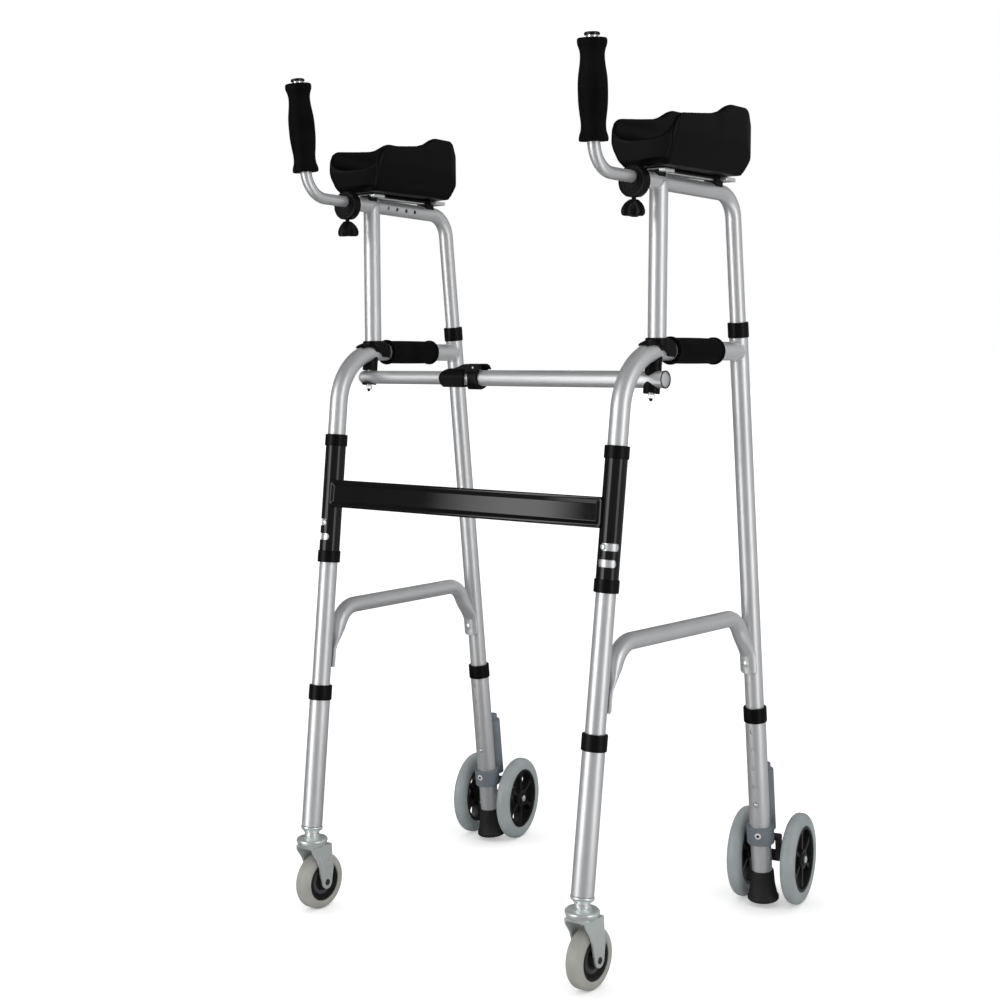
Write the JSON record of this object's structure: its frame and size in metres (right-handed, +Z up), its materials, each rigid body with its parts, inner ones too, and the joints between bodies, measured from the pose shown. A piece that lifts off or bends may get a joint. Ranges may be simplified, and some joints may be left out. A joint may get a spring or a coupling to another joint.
{
  "type": "forearm support walker",
  "caption": "Folding walker with forearm troughs and upright hand grips on two tubular side frames, a telescopic bar with a flip lock, front castors and sprung rear brake wheels",
  "frame": {"origin": "on the floor under the middle of the bounding box", "axes": "+Z up, -Y forward toward the castors and hand grips, +X to the side of the thick bar tube"},
  "size_m": [0.6248, 0.5394, 1.1611],
  "materials": {
    "aluminium": "satin anodised tube",
    "zinc": "bright zinc plate",
    "gloss_black": "gloss black",
    "black_plastic": "moulded black",
    "foam": "matt foam",
    "pad": "satin moulded skin",
    "rubber": "matt black rubber",
    "rear_tyre": "matt blue grey",
    "castor_tyre": "matt warm grey",
    "blue_grey": "moulded blue grey",
    "dark_steel": "dark grey paint"
  },
  "bodies": {
    "front_brace": {"front_brace": "gloss_black"},
    "right_frame": {"right_main_tube": "aluminium", "right_rear_leg": "aluminium", "right_lower_brace": "aluminium", "right_rail_grip": "foam", "right_forearm_post": "aluminium", "right_forearm_tube": "aluminium", "right_post_saddle": "black_plastic", "right_pivot_bolt": "zinc", "right_pad_plate": "zinc", "right_forearm_pad": "pad", "right_rod_clamp": "black_plastic"},
    "left_frame": {"left_main_tube": "aluminium", "left_rear_leg": "aluminium", "left_lower_brace": "aluminium", "left_rail_grip": "foam", "left_forearm_post": "aluminium", "left_forearm_tube": "aluminium", "left_post_saddle": "black_plastic", "left_pivot_bolt": "zinc", "left_pad_plate": "zinc", "left_forearm_pad": "pad", "left_rod_clamp": "black_plastic"},
    "right_bar": {"right_bar_tube": "aluminium", "right_bar_saddle_upper": "black_plastic", "right_bar_saddle_lower": "black_plastic", "bar_lock_collar": "black_plastic"},
    "left_bar": {"left_bar_tube": "aluminium"},
    "bar_lock_lever": {"bar_lock_lever": "black_plastic"},
    "left_grip": {"left_grip_rod": "aluminium", "left_hand_grip": "foam"},
    "left_clamp_knob": {"left_clamp_knob": "black_plastic"},
    "left_front_extension": {"left_front_extension": "aluminium", "left_castor_plate": "zinc"},
    "left_castor_fork": {"left_castor_fork": "zinc"},
    "left_castor_wheel": {"left_castor_wheel": "castor_tyre"},
    "left_front_snap_button": {"left_front_snap_button": "zinc"},
    "left_rear_extension": {"left_rear_extension": "aluminium", "left_rubber_tip": "rubber", "left_brake_housing": "blue_grey"},
    "left_axle_arm": {"left_axle_arm": "dark_steel"},
    "left_inner_wheel": {"left_inner_wheel": "rear_tyre"},
    "left_outer_wheel": {"left_outer_wheel": "rear_tyre"},
    "left_rear_snap_button": {"left_rear_snap_button": "zinc"},
    "right_grip": {"right_grip_rod": "aluminium", "right_hand_grip": "foam"},
    "right_clamp_knob": {"right_clamp_knob": "black_plastic"},
    "right_front_extension": {"right_front_extension": "aluminium", "right_castor_plate": "zinc"},
    "right_castor_fork": {"right_castor_fork": "zinc"},
    "right_castor_wheel": {"right_castor_wheel": "castor_tyre"},
    "right_front_snap_button": {"right_front_snap_button": "zinc"},
    "right_rear_extension": {"right_rear_extension": "aluminium", "right_rubber_tip": "rubber", "right_brake_housing": "blue_grey"},
    "right_axle_arm": {"right_axle_arm": "dark_steel"},
    "right_inner_wheel": {"right_inner_wheel": "rear_tyre"},
    "right_outer_wheel": {"right_outer_wheel": "rear_tyre"},
    "right_rear_snap_button": {"right_rear_snap_button": "zinc"}
  },
  "joints": [
    {"name": "left_fold", "type": "hinge", "parent": "front_brace", "child": "left_frame", "pos_m": [-0.22825, -0.24369, 0.11699], "axis": [0.0191, -0.1087, -0.9939], "range_deg": [0, 21]},
    {"name": "right_fold", "type": "hinge", "parent": "front_brace", "child": "right_frame", "pos_m": [0.23646, -0.24369, 0.11699], "axis": [0.0191, 0.1087, 0.9939], "range_deg": [0, 21]},
    {"name": "left_bar_pivot", "type": "hinge", "parent": "left_frame", "child": "left_bar", "pos_m": [-0.24268, -0.11214, 0.74142], "axis": [-0.0191, 0.1087, 0.9939], "range_deg": [0, 21]},
    {"name": "right_bar_pivot", "type": "hinge", "parent": "right_frame", "child": "right_bar", "pos_m": [0.2509, -0.11214, 0.74142], "axis": [-0.0191, -0.1087, -0.9939], "range_deg": [0, 21]},
    {"name": "bar_lock_flip", "type": "hinge", "parent": "right_bar", "child": "bar_lock_lever", "pos_m": [-0.03549, -0.11214, 0.75612], "axis": [0, 1, 0], "range_deg": [0, 70]},
    {"name": "left_grip_slide", "type": "slide", "parent": "left_frame", "child": "left_grip", "axis": [0.0381, -0.9991, 0.0188], "range_m": [-0.02, 0.05]},
    {"name": "left_knob_turn", "type": "hinge", "parent": "left_frame", "child": "left_clamp_knob", "pos_m": [-0.24435, -0.15652, 0.9663], "axis": [-0.0157, 0.0183, 0.9997], "range_deg": [0, 180]},
    {"name": "left_front_extension_slide", "type": "slide", "parent": "left_frame", "child": "left_front_extension", "axis": [0.0191, -0.1087, -0.9939], "range_m": [0, 0.104]},
    {"name": "left_castor_swivel", "type": "hinge", "parent": "left_front_extension", "child": "left_castor_fork", "pos_m": [-0.22794, -0.24367, 0.09649], "axis": [0, 0, 1], "continuous": true},
    {"name": "left_castor_roll", "type": "hinge", "parent": "left_castor_fork", "child": "left_castor_wheel", "pos_m": [-0.22794, -0.22967, 0.038], "axis": [-1, 0, 0], "continuous": true},
    {"name": "left_front_button_press", "type": "slide", "parent": "left_front_extension", "child": "left_front_snap_button", "axis": [0.0365, -0.9933, 0.1094], "range_m": [0, 0.004], "stiffness_N_per_m": 500, "springref_m": -0.004},
    {"name": "left_rear_extension_slide", "type": "slide", "parent": "left_frame", "child": "left_rear_extension", "axis": [0.0109, 0.105, -0.9944], "range_m": [0, 0.104]},
    {"name": "left_brake_slide", "type": "slide", "parent": "left_rear_extension", "child": "left_axle_arm", "axis": [-0.0109, -0.105, 0.9944], "range_m": [0, 0.007], "stiffness_N_per_m": 4000, "springref_m": -0.012},
    {"name": "left_inner_wheel_roll", "type": "hinge", "parent": "left_axle_arm", "child": "left_inner_wheel", "pos_m": [-0.21569, 0.20543, 0.0625], "axis": [-0.9816, -0.1908, 0], "continuous": true},
    {"name": "left_outer_wheel_roll", "type": "hinge", "parent": "left_axle_arm", "child": "left_outer_wheel", "pos_m": [-0.29128, 0.19074, 0.0625], "axis": [-0.9816, -0.1908, 0], "continuous": true},
    {"name": "left_rear_button_press", "type": "slide", "parent": "left_rear_extension", "child": "left_rear_snap_button", "axis": [-0.1921, 0.9762, 0.101], "range_m": [0, 0.004], "stiffness_N_per_m": 500, "springref_m": -0.004},
    {"name": "right_grip_slide", "type": "slide", "parent": "right_frame", "child": "right_grip", "axis": [-0.0381, -0.9991, 0.0188], "range_m": [-0.02, 0.05]},
    {"name": "right_knob_turn", "type": "hinge", "parent": "right_frame", "child": "right_clamp_knob", "pos_m": [0.25257, -0.15652, 0.9663], "axis": [0.0157, 0.0183, 0.9997], "range_deg": [0, 180]},
    {"name": "right_front_extension_slide", "type": "slide", "parent": "right_frame", "child": "right_front_extension", "axis": [-0.0191, -0.1087, -0.9939], "range_m": [0, 0.104]},
    {"name": "right_castor_swivel", "type": "hinge", "parent": "right_front_extension", "child": "right_castor_fork", "pos_m": [0.23616, -0.24367, 0.09649], "axis": [0, 0, 1], "continuous": true},
    {"name": "right_castor_roll", "type": "hinge", "parent": "right_castor_fork", "child": "right_castor_wheel", "pos_m": [0.23616, -0.22967, 0.038], "axis": [1, 0, 0], "continuous": true},
    {"name": "right_front_button_press", "type": "slide", "parent": "right_front_extension", "child": "right_front_snap_button", "axis": [-0.0365, -0.9933, 0.1094], "range_m": [0, 0.004], "stiffness_N_per_m": 500, "springref_m": -0.004},
    {"name": "right_rear_extension_slide", "type": "slide", "parent": "right_frame", "child": "right_rear_extension", "axis": [-0.0109, 0.105, -0.9944], "range_m": [0, 0.104]},
    {"name": "right_brake_slide", "type": "slide", "parent": "right_rear_extension", "child": "right_axle_arm", "axis": [0.0109, -0.105, 0.9944], "range_m": [0, 0.007], "stiffness_N_per_m": 4000, "springref_m": -0.012},
    {"name": "right_inner_wheel_roll", "type": "hinge", "parent": "right_axle_arm", "child": "right_inner_wheel", "pos_m": [0.21113, 0.19229, 0.0625], "axis": [0.9816, 0.1908, 0], "continuous": true},
    {"name": "right_outer_wheel_roll", "type": "hinge", "parent": "right_axle_arm", "child": "right_outer_wheel", "pos_m": [0.28671, 0.20698, 0.0625], "axis": [0.9816, 0.1908, 0], "continuous": true},
    {"name": "right_rear_button_press", "type": "slide", "parent": "right_rear_extension", "child": "right_rear_snap_button", "axis": [-0.1895, 0.9762, 0.1052], "range_m": [0, 0.004], "stiffness_N_per_m": 500, "springref_m": -0.004}
  ],
  "couplings": [
    {"joint": "right_fold", "follows": "left_fold", "ratio": 1},
    {"joint": "left_bar_pivot", "follows": "left_fold", "ratio": 1},
    {"joint": "right_bar_pivot", "follows": "left_fold", "ratio": 1}
  ]
}
